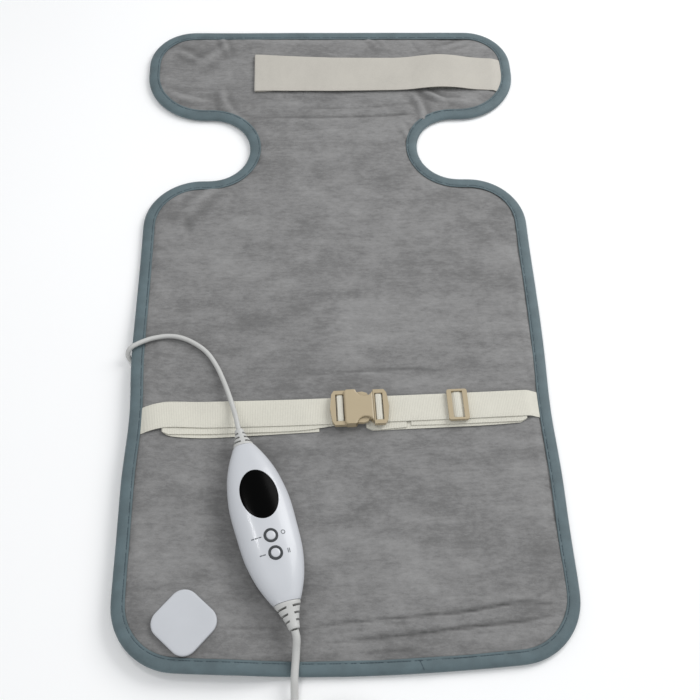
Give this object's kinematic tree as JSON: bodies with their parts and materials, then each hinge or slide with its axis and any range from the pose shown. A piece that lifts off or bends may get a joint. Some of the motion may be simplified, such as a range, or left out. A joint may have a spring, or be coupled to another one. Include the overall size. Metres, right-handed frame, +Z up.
{
  "type": "electric heating pad",
  "caption": "Flat electric heating pad for the back and neck, with a collar, an elastic neck strap, a buckled waist belt and a corded handset.",
  "frame": {"origin": "on the surface that the pad lies on, under the middle of its outline, cords and plug left out", "axes": "+X to the wearer's adjustable buckle side, +Y from the hem to the collar, +Z up out of the plush face"},
  "size_m": [0.394, 0.8083, 0.0336],
  "materials": {
    "grey_plush": "short brushed pile, matt",
    "binding_tape": "plain woven tape, matt",
    "white_wadding": "soft non-woven, matt",
    "carrier_cloth": "woven, matt",
    "cream_webbing": "ribbed woven tape, matt",
    "hook_tape": "moulded hooks on woven tape",
    "tan_plastic": "moulded, satin",
    "white_gloss_plastic": "moulded, glossy",
    "black_window": "polished, tinted",
    "dark_ring": "moulded, satin",
    "white_flexible_plastic": "extruded or moulded, satin",
    "circuit_board_laminate": "solder resist, satin",
    "plated_steel": "zinc plated",
    "nickel_plated_brass": "nickel plated, polished",
    "wire_jacket": "silicone, satin",
    "component_black": "moulded, matt"
  },
  "bodies": {
    "root": {"plush_cover": "grey_plush", "back_cover": "grey_plush", "edge_binding": "binding_tape", "wadding": "white_wadding", "heating_carrier": "carrier_cloth", "neck_strap_tab": "cream_webbing", "waist_strap_left": "cream_webbing", "waist_strap_right": "cream_webbing", "waist_strap_right_tail": "cream_webbing", "waist_strap_slack": "cream_webbing", "buckle_socket": "tan_plastic", "film_capacitor": "tan_plastic", "connector_base": "white_gloss_plastic", "connector_cover": "white_gloss_plastic", "handset_top_shell": "white_gloss_plastic", "handset_bottom_shell": "white_gloss_plastic", "display_window": "black_window", "power_button_ring": "dark_ring", "mode_button_ring": "dark_ring", "terminal_block": "white_flexible_plastic", "connector_gland": "white_flexible_plastic", "strain_relief_lower": "white_flexible_plastic", "strain_relief_upper": "white_flexible_plastic", "pad_cord": "white_flexible_plastic", "mains_cord": "white_flexible_plastic", "mains_cord_tail": "white_flexible_plastic", "mains_coil": "white_flexible_plastic", "plug_body": "white_flexible_plastic", "circuit_board": "circuit_board_laminate", "thermal_fuse": "plated_steel", "connector_screw_left": "plated_steel", "connector_screw_right": "plated_steel", "line_fuse": "plated_steel", "handset_screw_lower": "plated_steel", "handset_screw_upper": "plated_steel", "plug_pin_left": "nickel_plated_brass", "plug_pin_right": "nickel_plated_brass", "heating_wire": "wire_jacket", "power_switch": "component_black", "mode_switch": "component_black", "display_module": "component_black", "triac": "component_black", "coil_tie": "component_black"},
    "neck_strap": {"neck_strap": "cream_webbing", "neck_strap_hook_tape": "hook_tape"},
    "buckle_plug": {"buckle_plug": "tan_plastic", "waist_strap_loop": "cream_webbing"},
    "buckle_arm_upper": {"buckle_arm_upper": "tan_plastic"},
    "buckle_arm_lower": {"buckle_arm_lower": "tan_plastic"},
    "strap_slider": {"strap_slider": "tan_plastic", "slider_webbing": "cream_webbing"},
    "power_button": {"power_button": "white_gloss_plastic"},
    "mode_button": {"mode_button": "white_gloss_plastic"}
  },
  "joints": [
    {"name": "neck_strap_swing", "type": "hinge", "parent": "root", "child": "neck_strap", "pos_m": [0.171, 0.281, 0.0088], "axis": [0, 1, 0], "range_deg": [0, 150]},
    {"name": "buckle_release", "type": "slide", "parent": "root", "child": "buckle_plug", "axis": [0.9997, 0.0262, 0], "range_m": [0, 0.024], "deforming": ["waist_strap_slack"]},
    {"name": "buckle_arm_upper_flex", "type": "hinge", "parent": "buckle_plug", "child": "buckle_arm_upper", "pos_m": [0.02585, -0.11092, 0.0149], "axis": [0, 0, 1], "range_deg": [0, 8]},
    {"name": "buckle_arm_lower_flex", "type": "hinge", "parent": "buckle_plug", "child": "buckle_arm_lower", "pos_m": [0.02634, -0.12951, 0.0149], "axis": [0, 0, 1], "range_deg": [-8, 0]},
    {"name": "slider_travel", "type": "slide", "parent": "root", "child": "strap_slider", "axis": [0.9997, 0.0262, 0], "range_m": [-0.02, 0.02]},
    {"name": "power_button_press", "type": "slide", "parent": "root", "child": "power_button", "axis": [-0.1342, -0.037, -0.9903], "range_m": [0, 0.0008], "stiffness_N_per_m": 300},
    {"name": "mode_button_press", "type": "slide", "parent": "root", "child": "mode_button", "axis": [-0.1342, -0.037, -0.9903], "range_m": [0, 0.0008], "stiffness_N_per_m": 300}
  ],
  "couplings": [
    {"joint": "buckle_arm_upper_flex", "follows": "buckle_release", "rad_per_m": 5.8},
    {"joint": "buckle_arm_lower_flex", "follows": "buckle_release", "rad_per_m": -5.8}
  ]
}
